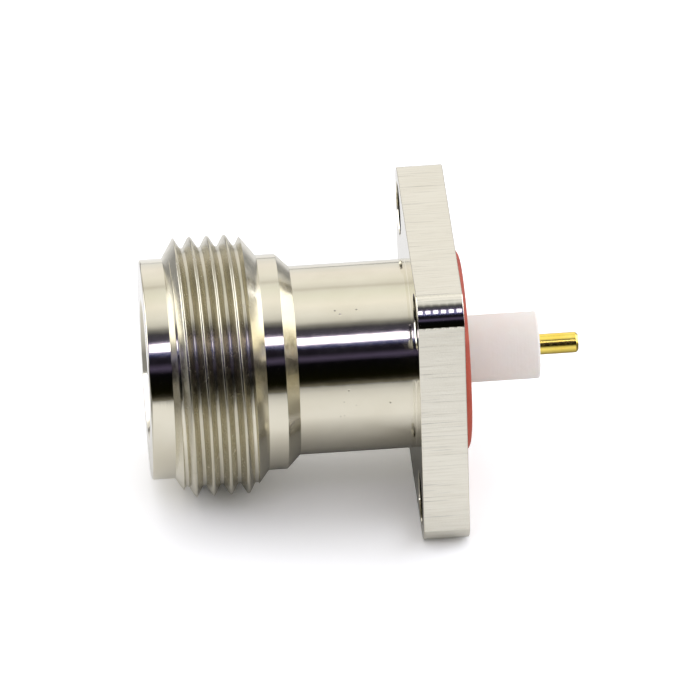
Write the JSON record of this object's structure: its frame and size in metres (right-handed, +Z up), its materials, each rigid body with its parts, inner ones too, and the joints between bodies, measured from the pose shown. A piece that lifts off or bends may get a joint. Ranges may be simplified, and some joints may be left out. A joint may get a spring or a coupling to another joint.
{
  "type": "coaxial panel jack",
  "caption": "Threaded coaxial panel jack with a square flange, a red panel gasket, a white dielectric tail and a gold-plated solder pin.",
  "frame": {"origin": "on the connector's axis, in the plane of the flange's panel face", "axes": "+X along the axis towards the solder pin, with the mating end at -X; the flange's sides are parallel to Y and Z; +Z up"},
  "size_m": [0.0264, 0.0176, 0.0176],
  "materials": {
    "nickel_plate": "bright nickel plate over turned brass",
    "white_dielectric": "white, waxy, slightly translucent",
    "gold_plate": "bright gold plate",
    "red_silicone": "matte moulded rubber"
  },
  "bodies": {
    "root": {"shell": "nickel_plate", "reference_ring": "nickel_plate", "front_insulator": "white_dielectric", "rear_insulator": "white_dielectric", "centre_contact": "gold_plate", "panel_gasket": "red_silicone"}
  },
  "joints": []
}
